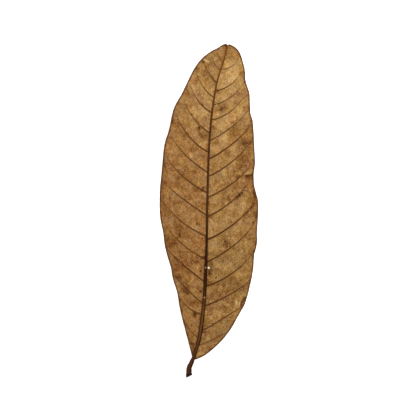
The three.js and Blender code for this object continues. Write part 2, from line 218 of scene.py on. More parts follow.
# Stains, bleached places and the painted highlights and shadows of two folds in that picture, in pixels,
# with y downwards: x, y, length, width, turn in degrees, change of lightness, change of redness. A stain
# narrower than RAGGED_WIDTH has smoother edges.
RAGGED_WIDTH = 2.5
STAINS_AND_FOLD_SHADING = [
    (231, 49, 2.5, 2, 0, 0.06, -0.3),
    (229, 56, 3.5, 2.5, 0, -0.12, -0.1),
    (233, 50, 9, 7, 20, -0.08, 0.1),
    (231, 75, 8, 6, 40, 0.12, 0),
    (213, 71, 4, 8, 15, -0.02, -0.1),
    (206, 57, 4, 2.5, 30, -0.12, -0.2),
    # Painted highlight along the fold near the tip, then the fold's painted shadow.
    (206.2, 60.2, 3.6, 0.9, -25, 0.5, -0.3),
    (203, 61.8, 2, 1, -30, -0.5, 0),
    (203, 66, 4, 3, 40, 0.16, 0.3),
    (206.5, 75, 3, 4, 0, -0.04, 0.1),
    (196, 67, 3, 3, 40, -0.06, -0.2),
    (193.5, 73, 1.6, 3.4, 20, -0.1, -0.5),
    (194, 79.5, 4, 3, 0, -0.18, 0.3),
    (188.5, 85, 1.8, 3, 25, 0.03, -0.4),
    (186, 90.5, 4, 2, 50, -0.1, 0.2),
    (187.5, 95, 5, 4, 20, -0.06, 0.3),
    (206, 97, 4, 2, 30, -0.1, -0.2),
    (202.3, 104.5, 1.8, 1.4, 0, -0.3, -0.1),
    (242, 75, 3, 5, 0, -0.28, 0),
    (240, 79, 1.5, 2.5, 20, 0.1, -0.4),
    (244.3, 78, 0.9, 3, 0, -0.4, 0),
    (243.5, 83, 1.2, 1.2, 0, -0.3, 0),
    (224, 95, 4, 2.5, 20, 0.05, -0.1),
    (217, 92, 2.5, 3, 0, -0.16, 0.1),
    (237, 94, 5, 3, 30, -0.14, 0.2),
    (244, 93, 3, 6, 0, 0, 0.2),
    (222.5, 107.5, 4.5, 4.5, -20, -0.5, -0.4),
    (226, 102, 3, 1.5, 20, -0.2, 0),
    (215, 109, 2.5, 5, 0, -0.04, 0.2),
    (235, 111, 9, 5, 35, 0.1, 0),
    (196, 113, 6, 5, 40, 0.08, -0.1),
    (205, 117, 3.5, 3, 0, -0.1, 0.1),
    (204, 125, 3, 1.5, 30, -0.12, -0.3),
    (178, 107, 4, 4, 0, -0.14, -0.1),
    (183.5, 110, 1.5, 1, 0, -0.2, 0),
    (184, 103, 3, 3, 0, -0.04, -0.3),
    (175, 117.5, 2.4, 3, 20, 0.17, -0.4),
    (171.5, 119.5, 1, 3.5, 10, -0.45, 0),
    (176, 127, 4.5, 6, 30, -0.12, 0.1),
    (185, 134, 4, 4, 0, -0.2, 0),
    (184, 128.5, 1.2, 0.8, 0, -0.3, 0.3),
    (198, 129, 3, 1.8, 20, -0.25, 0),
    (194.5, 134, 2, 4, 30, 0.06, 0),
    (202, 134.5, 5, 3.5, 0, -0.14, -0.1),
    (213, 126.8, 2, 2.2, 0, -0.5, 0.2),
    (206.5, 127, 1.2, 6, 0, -0.1, 0),
    (213, 143, 4, 2, 0, -0.22, -0.1),
    (216, 149, 4.5, 3.5, 30, 0.14, 0),
    (203, 142, 4, 3, 0, 0.12, -0.1),
    (193, 148, 4.5, 4, 30, -0.23, 0),
    (206, 152, 2.5, 5, 0, -0.1, 0.1),
    (233, 130, 5, 3.5, 30, -0.04, 0.1),
    (236, 125, 1.5, 1, 30, -0.25, -0.4),
    (243, 142.5, 5.5, 3.6, 10, -0.38, -0.4),
    (247, 129, 1.4, 2.2, 10, -0.16, -0.5),
    (248, 136, 4, 8, 0, -0.06, 0.2),
    (246, 158, 6, 7, 0, -0.26, 0),
    (240, 164, 7, 4, 30, -0.12, 0.1),
    (228, 151.5, 3, 2.5, 0, -0.16, 0.2),
    (214, 160, 1.6, 1, 30, -0.28, -0.5),
    (169, 151, 6, 7, 30, 0.08, 0.1),
    (165, 158, 1.5, 3, 10, 0.06, -0.4),
    (162.8, 160.5, 1.1, 4, 0, -0.45, 0),
    (165, 165, 2.5, 3.5, 0, -0.14, -0.2),
    (177, 163.5, 4, 3, 30, -0.24, 0),
    (194, 172, 4.5, 2.5, 0, -0.16, 0),
    (200.5, 179, 4, 5, 0, 0.06, -0.5),
    (166, 172, 3, 2.5, 0, -0.08, 0),
    (223, 176, 5, 8, 20, -0.03, -0.2),
    (213, 166, 3, 4, 0, -0.1, 0.1),
    (211, 175, 3, 4, 0, 0, -0.2),
    # Painted highlight above the fold at the right margin, then the fold's painted shadow.
    (248, 172.2, 5, 1.2, 8, 0.26, -0.2),
    (249.5, 174.8, 5, 0.7, 8, -0.8, 0),
    (249, 178.5, 4.5, 2.6, 0, -0.3, 0.1),
    (252.6, 174, 0.8, 3.5, 0, -0.45, 0),
    (237, 177, 3.5, 1.4, 35, -0.3, -0.2),
    (231, 174, 4, 3, 30, -0.08, 0.1),
    (250, 186, 2.5, 5, 0, -0.06, 0.3),
    (243, 188, 5, 3, 30, -0.1, 0),
    (228, 198, 1.8, 2.6, -20, -0.3, -0.2),
    (239, 195, 4.5, 1.6, 40, -0.3, -0.1),
    (236, 204, 2.5, 1.1, 0, -0.22, -0.1),
    (230, 202, 4, 1.5, 40, -0.1, 0),
    (252, 205, 4, 3, 60, -0.28, -0.2),
    (247, 211, 6, 2, 40, -0.16, -0.1),
    (257, 214, 0.9, 3, 0, -0.4, 0),
    (164, 205, 5, 12, 0, 0.02, 0.2),
    (197, 188.5, 3, 1.3, 35, -0.2, 0),
    (178.6, 233.5, 1, 1.6, 0, -0.25, -0.3),
    (167, 237, 3, 3.5, 0, -0.16, 0),
    (169, 244, 3.5, 4, 20, -0.05, 0),
    (212, 232, 3, 4, 0, 0.02, 0.2),
    (217, 229, 3, 2, 0, -0.14, 0),
    (225.5, 242, 2, 2.6, 10, -0.26, -0.9),
    (233, 237, 3, 3, 0, 0.1, 0.2),
    (245, 237, 4, 4, 0, -0.14, 0.1),
    (238, 253, 8, 5, 30, 0.12, -0.4),
    (225, 262, 4, 3, 0, -0.08, -0.3),
    (203, 257, 2.5, 1.4, 30, -0.35, -0.1),
    (196.5, 261.5, 2, 1.5, 30, -0.22, -0.2),
    (209.4, 271.8, 1.3, 2.8, 0, -0.9, -0.2),
    (211, 265, 1.2, 4, 20, -0.2, -0.2),
    (184, 263, 6, 5, 0, -0.04, 0.2),
    (196, 268, 4, 3, 0, 0.05, -0.2),
    (178, 277, 3, 1.8, -20, -0.26, -0.3),
    (187, 281, 2.4, 1.5, 0, -0.2, -0.5),
    (187, 292.5, 2.4, 1.6, 0, -0.22, -0.4),
    (243, 269, 4, 3, 30, -0.1, 0.1),
    (236, 282, 5, 3.5, 30, -0.02, -0.5),
    (218, 284, 6, 1.5, 25, -0.12, -0.2),
    (194.5, 302, 4, 3.5, 0, -0.26, -0.1),
    (188, 300, 3, 5, 30, -0.02, 0.2),
    (225, 291.5, 4, 2.4, 20, -0.26, 0.2),
    (235.3, 302, 1.6, 4.5, -10, 0.34, -0.5),
    (238.7, 304.5, 1.1, 2.4, 0, 0.34, -0.3),
    (237.6, 300, 0.9, 2, 20, -0.25, 0),
    (244.5, 298, 2, 1.8, 0, -0.5, 0.1),
    (242, 301, 1.6, 4, -20, -0.5, 0.1),
    (231, 306, 3, 2.5, 20, -0.14, -0.3),
    (223, 307, 3.5, 2.2, 0, -0.2, -0.3),
    (210.8, 296, 1.4, 1.8, 0, -0.22, -0.4),
    (194.3, 313.3, 2.4, 1.5, -20, -0.4, -0.1),
    (181.2, 310, 0.9, 2.5, 0, -0.4, 0),
    (216, 316, 4, 3, 30, 0.06, 0),
    (190, 319, 3.5, 8, 10, 0.02, 0.2),
    (224, 325, 6, 5, 20, 0.07, -0.6),
    (218, 333, 4, 2.5, 30, -0.06, -0.4),
    (204, 333, 2.5, 2, 0, -0.14, 0.2),
    (208, 336, 4, 2.5, 20, 0.14, -0.4),
    (189, 338, 2, 5, 15, -0.18, -0.1),
    (192, 343.5, 2.2, 1.3, -20, -0.4, -0.1),
    (194, 349, 2, 3.5, 10, -0.25, -0.1),
    (207, 347, 4, 2, 25, -0.12, 0.1),
    (222, 140, 8, 12, 0, 0.04, 0),
    (246, 145, 6, 14, 0, -0.06, 0),
    (244, 173, 9, 14, 0, -0.07, 0),
    (163, 172, 6, 14, 0, -0.06, 0),
    (168, 205, 7, 14, 0, -0.04, 0),
    (196, 230, 10, 14, 0, 0.04, 0),
    (218, 232, 9, 14, 0, 0.03, 0),
    (246, 230, 9, 16, 0, 0.08, 0),
    (175, 262, 7, 15, 0, -0.07, 0),
    (185, 270, 4, 4, 0, -0.07, 0),
    (190, 322, 8, 14, 0, 0.04, 0),
    (238.5, 132.5, 6, 4, 30, -0.3, 0.1),
    (255, 216, 2.5, 4, 0, -0.25, 0),
    (246, 106, 3, 5, 0, -0.25, 0),
    (184, 289, 4.5, 4, -20, -0.28, -0.1),
    (163, 180, 4, 9, 0, -0.12, 0.15),
    (253.8, 193, 1.1, 6, 12, -0.4, 0),
    (231, 185, 4, 4, 0, -0.2, 0.1),
    (234, 176, 5, 3.5, 0, -0.16, 0.1),
    (190, 180, 4, 3.5, 0, -0.15, -0.2),
    (246, 188, 5, 4, 0, -0.16, 0.1),
    (179.6, 235.5, 1.6, 1.2, 20, -0.3, -0.5),
    (196, 245, 5, 4, 0, 0.12, 0),
    (162, 211, 3, 6, 0, -0.14, 0.1),
    (228, 100, 5, 3, 30, 0.12, 0),
    (217, 115, 4, 3, 20, 0.12, 0),
    (209, 115, 2, 3, 0, -0.2, 0),
    (204, 119, 4, 4, 20, 0.12, 0),
    (201.5, 190, 2.2, 1.1, 20, -0.4, 0),
    (222, 283, 4, 5, 30, -0.12, 0),
    (208, 281, 2, 3.5, 0, -0.2, 0),
    (236, 292, 6, 3, 30, -0.08, -0.3),
    (180, 268, 11, 7, 35, -0.1, 0.15),
    (239.3, 303, 1.2, 4, -15, 0.3, -0.7),
    (236.3, 302.5, 1, 3.5, 10, 0.25, -0.2),
]

# Shares of a speck's radius where it begins to show and where it is full.
SPECK_FOOT, SPECK_CORE = 1.25, 0.5

# Small specks, listed the same way: x, y, radius.
DARK_SPECKS = [
    (198.5, 127.3, 1.6),
    (201.2, 128.2, 0.8),
    (202.4, 187.5, 1.3),
    (241.5, 192.5, 1.5),
    (239, 194.5, 1.5),
    (244.3, 78.3, 1.7),
    (244.2, 81.8, 1.2),
    (225.8, 45.3, 1.1),
    (245, 190, 0.8),
    (232, 191, 0.7),
    (228, 196, 0.9),
    (196.6, 223.1, 1.2),
    (198.8, 224, 0.9),
    (201.5, 238, 0.9),
    (177, 237, 0.9),
    (238, 250, 0.8),
    (226.4, 246.2, 1.1),
    (224.3, 240.6, 0.8),
    (253, 222, 1.1),
    (200, 270.5, 1.2),
    (200, 291, 1.6),
    (210, 314, 1.0),
    (230, 317, 0.7),
    (194, 315, 1.2),
    (215.6, 277, 1.1),
    (227, 45, 1.1),
    (184, 199, 0.9),
    (191.3, 114, 1.0),
]
PALE_SPECKS = [
    (205.6, 311, 0.9),
    (216, 104.7, 0.7),
    (229, 180.5, 0.5),
]
WHITE_SPECKS = [
    (208.2, 267.2, 1.15),
]
MIDRIB_SPECKS = [
    (205, 267, 0.9),
    (204, 297, 0.9),
]

# How dark and how high each rib is, from the base to the tip, where 1 is a usual one.
LEFT_RIB_STRENGTH = [0.65, 0.85, 0.75, 1.1, 0.8, 0.85, 0.85, 1, 0.9, 1.05, 0.85, 0.95, 0.7, 0.85, 0.55, 0.5]
RIGHT_RIB_STRENGTH = [0.5, 0.95, 1.2, 1.35, 1.1, 1.6, 1.2, 1, 1, 1.25, 0.9, 0.85, 0.7, 0.95, 0.5]

# Shape of the blade
SOLID_THICKNESS = 0.6  # of the plain solid's blade, whose underside this one shares
ARCH_POWER = 1.4  # above 1, the blade leaves the midrib level and bends down towards the margin
QUILT_DEPTH = 0.35  # how far the blade sinks between two side ribs
FULL_QUILT_GAP = 8  # ribs nearer to each other than this have a shallower hollow between them
BROAD_RIPPLE = 7.0  # size of the broad ripples
FINE_RIPPLE = 2.4  # size of the fine ripples
FINE_RIPPLE_HEIGHT = 0.4  # their height, as a share of the broad ones'
RIB_END = 0.96  # share of the way to the margin where a side rib has sunk into the blade
RIB_WIDTH = 0.36  # from the crest of a side rib to its slope, where it leaves the midrib
RIB_COLOUR_WIDTH = 0.31  # the same for its dark colour
RIB_TAPER = 0.45  # share of its width that a side rib loses on its way
MARGIN_WAVER = 0.08  # how far the margin strays from its smooth line
MARGIN_WAVER_SIZE = 0.8  # length of midrib to one such waver

# The right half's ribs turn flat just before they meet the midrib: rise, share of the way that it takes, and
# the length of midrib over which it fades out at the base and at the tip.
ROOT_HOOK = 0.45
ROOT_HOOK_SHARE = 0.06
ROOT_HOOK_FADE = 10

# Steps of the blade's mesh
RIB_ROWS = (-0.9, -0.55, -0.32, -0.15, 0, 0.15, 0.32, 0.55, 0.9)  # rows over a rib, from its root
WIDEST_ROW = 0.6  # two roots further apart than this get more between them
NARROWEST_ROW = 0.08  # of two roots nearer than this, the second is left out
INNER_COLUMNS = 42
INNER_SHARE = 0.97  # share of the way to the margin that the inner columns take up
RIM_SHARES = (0.985, 0.995, 1.0)
MARGIN_STEPS = 1600  # points of the margin from which distances are measured

# Shape of the midrib and the stalk
MIDRIB_RISE = 0.25  # how far the midrib stands out of the blade, as a share of its radius
SMOOTH_SIDE_RIDGE = 0.1  # how far it stands out of the smooth side
STALK_TOP = 1  # the rod turns from stalk to midrib round this y
STALK_BLEND = 1.5  # how suddenly it does
STALK_CUT_SLANT = 0.4  # slope of the break at the stalk's end
CUT_REACH = 1.6  # how far the slant reaches up the stalk
GROOVE_DEPTH = 0.22  # of the groove along the top, as a share of the radius
GROOVE_WIDTH = 0.12  # how far below the top of the rod it ends, as a share of the radius
GROOVE_END = 34  # where it has faded out
# Waves of the radius: height as a share of it, waves round the rod, and radians to a mm along it.
STALK_WAVES = [(0.07, 5, 0.6), (0.05, 9, -0.9), (0.06, 1, 1.9), (0.04, -2, 3.1)]
MIDRIB_WAVES = [(0.04, 2, 1.1)]


def smooth(table, column, at):
    """One column of a table along a smooth line, for an array of values of its first column."""
    rows = np.array(table, float)
    x, y = rows[:, 0], rows[:, column]
    slope = np.empty_like(y)
    slope[1:-1] = (y[2:] - y[:-2]) / (x[2:] - x[:-2])
    slope[0] = (y[1] - y[0]) / (x[1] - x[0])
    slope[-1] = (y[-1] - y[-2]) / (x[-1] - x[-2])
    i = np.clip(np.searchsorted(x, at, side="right") - 1, 0, len(x) - 2)
    span = x[i + 1] - x[i]
    u = np.clip((at - x[i]) / span, 0, 1)
    lean = slope[i] * u * (1 - u) ** 2 - slope[i + 1] * u * u * (1 - u)
    return y[i] + (y[i + 1] - y[i]) * u * u * (3 - 2 * u) + lean * span


def rough(x, y, size, seed):
    """Smooth random heights between -1 and 1 with lumps of one size, the same on each run."""
    places = zip(np.ravel(x) / size, np.ravel(y) / size)
    heights = [noise.noise(Vector((u, v, seed))) for u, v in places]
    return np.array(heights).reshape(np.shape(x))


def bell(distance, width):
    """1 at no distance, falling smoothly to 0 within about twice the width."""
    return np.exp(-((distance / width) ** 2))


def waves(listed, angle, y):
    """Sum of the listed waves, round and along a rod."""
    return sum(height * np.sin(around * angle + along * y) for height, around, along in listed)


class Half:
    """One half of the blade, whose lines run from the midrib to the margin as its ribs do."""

    def __init__(self, turn, ribs, edge, strengths, heights, tones):
        self.turn = turn
        self.rows = sorted(ribs + edge)
        self.ribs = np.array([rib[0] for rib in ribs])
        self.strengths = np.array(strengths)
        self.bounds = np.array([self.rows[0][0], *self.ribs, self.rows[-1][0]])
        self.heights, self.tones = heights, tones

    def flat(self, root, share):
        """x and y at a share of the way to the margin, on the line that starts at a root on the midrib."""
        start_x, start_y = smooth(MIDRIB, 1, root), root
        end_x, end_y = smooth(self.rows, 1, root), smooth(self.rows, 2, root)
        waver = rough(root, np.zeros_like(root), MARGIN_WAVER_SIZE, 3.7 + self.turn)
        end_x = end_x + self.turn * MARGIN_WAVER * waver
        bow, reach = smooth(self.rows, 3, root), smooth(self.rows, 4, root)
        bend_x = start_x + reach * (end_x - start_x)
        bend_y = start_y + (reach - bow) * (end_y - start_y)
        near, middle, far = (1 - share) ** 2, 2 * share * (1 - share), share**2
        from_ends = np.minimum(root, MIDRIB[-1][0] - root)
        inside = np.clip(from_ends / ROOT_HOOK_FADE, 0, 1)
        hook = max(self.turn, 0) * ROOT_HOOK * inside * np.exp(-share / ROOT_HOOK_SHARE)
        return (
            near * start_x + middle * bend_x + far * end_x,
            near * start_y + middle * bend_y + far * end_y + hook,
        )

    def between(self, root):
        """Which gap between two ribs a root is in, the gap's width, and how far through it the root is."""
        i = np.clip(np.searchsorted(self.bounds, root, side="right") - 1, 0, len(self.bounds) - 2)
        gap = self.bounds[i + 1] - self.bounds[i]
        return i, gap, (root - self.bounds[i]) / gap

    def lane(self, root):
        """Which gap between two ribs a root is in, and how far through it, as one rising number."""
        i, gap, phase = self.between(root)
        return i + phase

    def hollow(self, root):
        """0 on a rib, 1 midway between two that stand well apart."""
        i, gap, phase = self.between(root)
        return np.minimum(1, gap / FULL_QUILT_GAP) * 4 * phase * (1 - phase)

    def rib(self, root, share, width):
        """1 on the crest of a rib, falling to 0 at its feet and where it sinks in near the margin."""
        away = np.abs(root[..., None] - self.ribs)
        strength = self.strengths[np.argmin(away, axis=-1)] * np.clip(1 - (share / RIB_END) ** 3, 0, 1)
        return bell(np.min(away, axis=-1), width * (1 - RIB_TAPER * share)) * strength


LEFT = Half(-1, LEFT_RIBS, LEFT_EDGE, LEFT_RIB_STRENGTH, LEFT_HEIGHT, LEFT_TONE)
RIGHT = Half(1, RIGHT_RIBS, RIGHT_EDGE, RIGHT_RIB_STRENGTH, RIGHT_HEIGHT, RIGHT_TONE)


def row_roots():
    """Roots of the mesh's rows: close together over each rib of either half, wider apart between them."""
    ribs = np.concatenate([LEFT.ribs, RIGHT.ribs])
    first, last = LEFT.bounds[0], LEFT.bounds[-1]
    roots = np.sort(np.concatenate([np.add.outer(ribs, RIB_ROWS).ravel(), [first, last]]))
    roots = roots[(roots >= first) & (roots <= last)]
    kept = [roots[0]]
    for root in roots[1:]:
        gap = root - kept[-1]
        if gap > NARROWEST_ROW:
            steps = int(np.ceil(gap / WIDEST_ROW))
            kept += list(np.linspace(kept[-1], root, steps + 1)[1:])
    kept[-1] = last
    return np.array(kept)


def column_shares():
    """Shares of the way from the midrib to the margin at which the mesh has its columns."""
    return np.concatenate([np.linspace(0, INNER_SHARE, INNER_COLUMNS), RIM_SHARES])


def from_pixel(px, py):
    """A place in the picture as x and y in mm from the blade's base."""
    return (px - BASE_PIXEL[0]) * PIXEL, (BASE_PIXEL[1] - py) * PIXEL


def stray(x, y, broad_seed, fine_seed):
    """How far, in mm, the ragged edge of a stain strays at each place, in broad and in fine lumps."""
    return 0.9 * rough(x, y, 2.6, broad_seed) + 0.4 * rough(x, y, 1.0, fine_seed)


def stain_and_fold_shading_fields(x, y):
    """Lightness and redness that the stains and the painted fold highlights and shadows add at each place.
    Only broad ones have ragged edges.
    """
    stray_x, stray_y = stray(x, y, 3.1, 7.7), stray(x, y, 5.3, 9.9)
    light, red = np.zeros_like(x), np.zeros_like(x)
    for px, py, length, width, turn, lighter, redder in STAINS_AND_FOLD_SHADING:
        middle_x, middle_y = from_pixel(px, py)
        along = np.radians(turn)
        ragged = min(1, (min(length, width) / RAGGED_WIDTH) ** 2)
        dx = x + ragged * stray_x - middle_x
        dy = y + ragged * stray_y - middle_y
        u = (dx * np.cos(along) + dy * np.sin(along)) / (length * PIXEL)
        v = (dy * np.cos(along) - dx * np.sin(along)) / (width * PIXEL)
        amount = np.exp(-(u * u + v * v))
        light += lighter * amount
        red += redder * amount
    return light, red


def distance_to_margin(x, y):
    """Distance from each place of one half to its margin, which is the last column."""
    steps = np.linspace(0, len(x) - 1, MARGIN_STEPS)
    margin_x, margin_y = (np.interp(steps, np.arange(len(x)), ends) for ends in (x[:, -1], y[:, -1]))
    nearest = [
        np.hypot(column_x[:, None] - margin_x, column_y[:, None] - margin_y).min(axis=1)
        for column_x, column_y in zip(x.T, y.T)
    ]
    return np.stack(nearest, axis=1)


def half_fields(half, roots, shares, sizes):
    """Places, heights and pattern values of one half's mesh, one row of numbers for each root."""
    root, share = np.meshgrid(roots, shares, indexing="ij")
    x, y = half.flat(root, share)
    crown = smooth(MIDRIB, 2, root)
    fall = (smooth(half.heights, 1, root) - crown) * share**ARCH_POWER
    quilt = half.hollow(root) * QUILT_DEPTH * 4 * share * (1 - share)
    broad = rough(x, y, BROAD_RIPPLE, 1.5) * share
    fine = rough(x, y, FINE_RIPPLE, 4.5) * np.minimum(1, 6 * share)
    ripple = sizes.ripple / MM * (broad + FINE_RIPPLE_HEIGHT * fine)
    middle = np.maximum(crown + fall - quilt + ripple, SOLID_THICKNESS / 2)
    step = np.hypot(np.diff(x, axis=1), np.diff(y, axis=1))
    reach = np.concatenate([np.zeros((len(roots), 1)), np.cumsum(step, axis=1)], axis=1)
    light, red = stain_and_fold_shading_fields(x, y)
    return {
        "x": x,
        "y": y,
        "floor": middle - SOLID_THICKNESS / 2,
        "rise": (sizes.blade + sizes.rib * half.rib(root, share, RIB_WIDTH)) / MM,
        "rib": half.rib(root, share, RIB_COLOUR_WIDTH),
        "reach": reach,
        "to_margin": distance_to_margin(x, y),
        "lane": half.lane(root),
        "light": smooth(half.tones, 1, root) + light,
        "red": smooth(half.tones, 2, root) + red,
    }


def joined(left, right):
    """The columns of both halves, from the left margin over the midrib to the right margin."""
    return np.concatenate([left[:, :0:-1], right], axis=1)


def set_places(mesh, x, y, z):
    """Puts a mesh's points at places in millimetres, counted from the blade's base."""
    places = np.stack([np.ravel(x) + BASE_X, np.ravel(y) + BASE_Y, np.ravel(z)], axis=1) * MM
    mesh.vertices.foreach_set("co", places.astype(np.float32).ravel())
    mesh.update()


def paint(mesh, name, values):
    """Stores one number at each point of a mesh, for its material to read."""
    layer = mesh.attributes.new(name, "FLOAT", "POINT")
    layer.data.foreach_set("value", np.ravel(values).astype(np.float32))


def painted(mesh, name):
    """The numbers that paint stored."""
    values = np.empty(len(mesh.vertices), np.float32)
    mesh.attributes[name].data.foreach_get("value", values)
    return values


def new_grid(name, rows, columns):
    """A flat grid whose points are stored row by row."""
    bpy.ops.object.select_all(action="DESELECT")
    bpy.ops.mesh.primitive_grid_add(x_subdivisions=columns - 1, y_subdivisions=rows - 1, size=2 * MM)
    grid = bpy.context.object
    grid.name = name
    grid.data.name = name
    return grid


def edit(action, **settings):
    """Runs one mesh tool on the whole of the active object."""
    bpy.ops.object.mode_set(mode="EDIT")
    bpy.ops.mesh.select_all(action="SELECT")
    action(**settings)
    bpy.ops.object.mode_set(mode="OBJECT")


def stands_for_leaf(piece):
    """Makes a finished piece part of the leaf, in place of the plain solid."""
    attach(piece, "root")
    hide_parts("leaf")


def tint(red, green, blue):
    """A colour as Blender keeps it, from its usual 0 to 255 numbers."""
    return tuple(
        channel / 12.92 if channel <= 0.04045 else ((channel + 0.055) / 1.055) ** 2.4
        for channel in (red / 255, green / 255, blue / 255)
    )


class Value:
    """A number in a material's nodes, for use in Python expressions."""

    def __init__(self, nodes, socket):
        self.nodes = nodes
        self.socket = socket

    def __add__(self, other):
        return self.nodes.math("ADD", self, other)

    def __sub__(self, other):
        return self.nodes.math("SUBTRACT", self, other)

    def __rsub__(self, other):
        return self.nodes.math("SUBTRACT", other, self)

    def __mul__(self, other):
        return self.nodes.math("MULTIPLY", self, other)

    def __pow__(self, other):
        return self.nodes.math("POWER", self, other)

    __radd__ = __add__
    __rmul__ = __mul__


class Nodes:
    """The nodes of one material."""

    def __init__(self, name):
        self.material = bpy.data.materials.new(name)
        self.material.use_nodes = True
        self.tree = self.material.node_tree
        self.surface = self.tree.nodes["Principled BSDF"]

    def set(self, node, key, value):
        """Links or sets one input of a node, named by its label or its identifier."""
        socket = next(s for s in node.inputs if s.enabled and key in (s.name, s.identifier))
        if isinstance(value, Value):
            self.tree.links.new(value.socket, socket)
        elif isinstance(value, tuple) and len(value) == 3 and socket.type == "RGBA":
            socket.default_value = (*value, 1)
        else:
            socket.default_value = value

    def node(self, kind, settings, inputs, output):
        """Adds a node: its settings first, then its inputs, and gives back one of its outputs."""
        made = self.tree.nodes.new(kind)
        for key, value in settings.items():
            if key == "stops":
                self.set_stops(made.color_ramp, value)
            else:
                setattr(made, key, value)
        for key, value in inputs.items():
            self.set(made, key, value)
        return Value(self, next(s for s in made.outputs if s.enabled and output in (s.name, s.identifier)))

    def set_stops(self, ramp, stops):
        """Gives a ramp its colours, each with its place from 0 to 1."""
        while len(ramp.elements) < len(stops):
            ramp.elements.new(1)
        for element, (position, colour) in zip(ramp.elements, stops):
            element.position = position
            element.color = (*colour, 1)

    def math(self, operation, first, second=0.0):
        made = self.tree.nodes.new("ShaderNodeMath")
        made.operation = operation
        for socket, value in zip(made.inputs, (first, second)):
            if isinstance(value, Value):
                self.tree.links.new(value.socket, socket)
            else:
                socket.default_value = value
        return Value(self, made.outputs[0])

    def vector_math(self, operation, first, second, output="Vector"):
        inputs = {"Vector": first, "Vector_001": second}
        return self.node("ShaderNodeVectorMath", {"operation": operation}, inputs, output)

    def place(self):
        """The place on the piece in millimetres."""
        metres = self.node("ShaderNodeTexCoord", {}, {}, "Object")
        return self.vector_math("MULTIPLY", metres, (1 / MM, 1 / MM, 1 / MM))

    def attribute(self, name):
        return self.node("ShaderNodeAttribute", {"attribute_name": name}, {}, "Fac")

    def vector(self, x, y, z=0.0):
        return self.node("ShaderNodeCombineXYZ", {}, {"X": x, "Y": y, "Z": z}, "Vector")

    def noise(self, place, size, detail=2.0, roughness=0.5):
        """A cloudy value around 0, whose lumps have a size in the unit of the place."""
        inputs = {"Vector": place, "Scale": 1 / size, "Detail": detail, "Roughness": roughness}
        return self.node("ShaderNodeTexNoise", {}, inputs, "Fac") - 0.5

    def cells(self, place, size):
        """Distance to the nearest line of a net with meshes of one size, 0 on the line."""
        settings = {"feature": "DISTANCE_TO_EDGE"}
        return self.node("ShaderNodeTexVoronoi", settings, {"Vector": place, "Scale": 1 / size}, "Distance")

    def ease(self, value, start, end):
        """0 up to the start, 1 from the end on, and smooth between. The start may be the larger one."""
        low, high, first, last = (start, end, 0.0, 1.0) if start < end else (end, start, 1.0, 0.0)
        inputs = {"Value": value, "From Min": low, "From Max": high, "To Min": first, "To Max": last}
        return self.node("ShaderNodeMapRange", {"interpolation_type": "SMOOTHSTEP"}, inputs, "Result")

    def ramp(self, value, stops):
        return self.node("ShaderNodeValToRGB", {"stops": stops}, {"Fac": value}, "Color")

    def mix(self, amount, first, second):
        """A colour between two colours."""
        inputs = {"Factor_Float": amount, "A_Color": first, "B_Color": second}
        settings = {"data_type": "RGBA", "clamp_factor": True}
        return self.node("ShaderNodeMix", settings, inputs, "Result_Color")

    def bump(self, height, depth):
        """A bump from heights between 0 and 1 that stand for a depth."""
        inputs = {"Height": height, "Distance": depth, "Strength": 1.0}
        return self.node("ShaderNodeBump", {}, inputs, "Normal")

    def specks(self, place, listed, wobble):
        """1 inside small listed specks and 0 elsewhere, seen from above."""
        flat = self.vector_math("MULTIPLY", place, (1, 1, 0))
        amount = 0.0
        for px, py, radius in listed:
            x, y = from_pixel(px, py)
            distance = self.vector_math("DISTANCE", flat, (x + BASE_X, y + BASE_Y, 0), "Value")
            foot, core = radius * PIXEL * SPECK_FOOT, radius * PIXEL * SPECK_CORE
            amount = self.math("MAXIMUM", self.ease(distance + wobble, foot, core), amount)
        return amount


# Sizes of the blade's patterns in mm.
CLOUD_SIZE, MOTTLE_SIZE, GRAIN_SIZE, REDNESS_SIZE, BLOOM_SIZE = 4.5, 1.5, 0.5, 3.2, 4.0
NET_SIZE = 0.8
# How a place between two ribs is stretched for the cross veins: to a mm of its way out, and from rib to rib.
CROSS_VEIN_STRETCH = (0.3, 1.6)
# How far from the margin its dark rim reaches.
RIM_WIDTH = 1.15

# The browns of the blade from dark to light, where it is least and where it is most reddish.
OLIVE_BROWNS = [
    (0.0, tint(70, 41, 13)),
    (0.25, tint(113, 74, 30)),
    (0.45, tint(141, 104, 49)),
    (0.6, tint(163, 128, 69)),
    (0.8, tint(192, 157, 96)),
    (1.0, tint(222, 192, 135)),
]
RED_BROWNS = [
    (0.0, tint(71, 36, 6)),
    (0.25, tint(118, 68, 21)),
    (0.45, tint(150, 100, 43)),
    (0.6, tint(174, 122, 64)),
    (0.8, tint(203, 152, 90)),
    (1.0, tint(228, 188, 131)),
]


